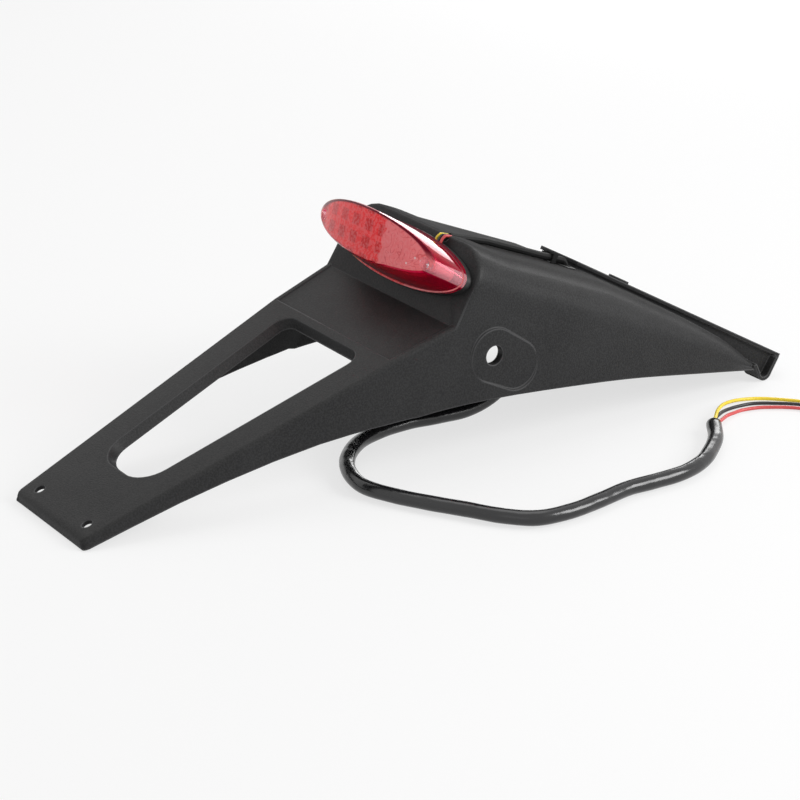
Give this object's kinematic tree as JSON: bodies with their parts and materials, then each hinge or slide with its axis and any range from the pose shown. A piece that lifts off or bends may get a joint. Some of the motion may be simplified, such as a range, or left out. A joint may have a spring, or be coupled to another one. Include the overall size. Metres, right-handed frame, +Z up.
{
  "type": "tail tidy",
  "caption": "Moulded tail bracket with a slotted plate arm, an oval red lamp under a wedge-shaped hood, a mounting frame on top and a loose wiring loom.",
  "frame": {"origin": "centre of the base under the moulding and its lamp, on the surface that the part stands on", "axes": "+Y runs from the plate arm to the front of the hood, +Z up, +X to the right when looking along +Y"},
  "size_m": [0.2096, 0.4455, 0.1292],
  "materials": {
    "body": "fine moulded texture",
    "gasket": "matte",
    "lamp_plastic": "smooth",
    "reflector": "bright",
    "board": "solder mask",
    "diodes": "clear domes",
    "lens": "translucent red",
    "steel": "zinc plated",
    "tie": "smooth",
    "tape": "wound tape",
    "sleeve": "glossy",
    "wire_yellow": "satin",
    "wire_black": "satin",
    "wire_red": "satin",
    "brass": "plated"
  },
  "bodies": {
    "root": {"tail_moulding": "body", "lamp_gasket": "gasket", "lamp_base": "lamp_plastic", "lamp_reflector": "reflector", "led_board": "board", "lamp_diodes": "diodes", "lamp_lens": "lens", "lens_screw_left": "steel", "lens_screw_right": "steel", "lamp_bolt_left": "steel", "lamp_bolt_right": "steel", "lamp_washer_left": "steel", "lamp_washer_right": "steel", "deck_grommet": "gasket", "loom_tie": "tie", "upper_loom": "tape", "lead_yellow": "wire_yellow", "lead_black": "wire_black", "lead_red": "wire_red", "loom_sleeve": "sleeve", "wire_yellow": "wire_yellow", "wire_black": "wire_black", "wire_red": "wire_red", "bullet_yellow": "brass", "bullet_black": "brass", "bullet_red": "brass"}
  },
  "joints": []
}
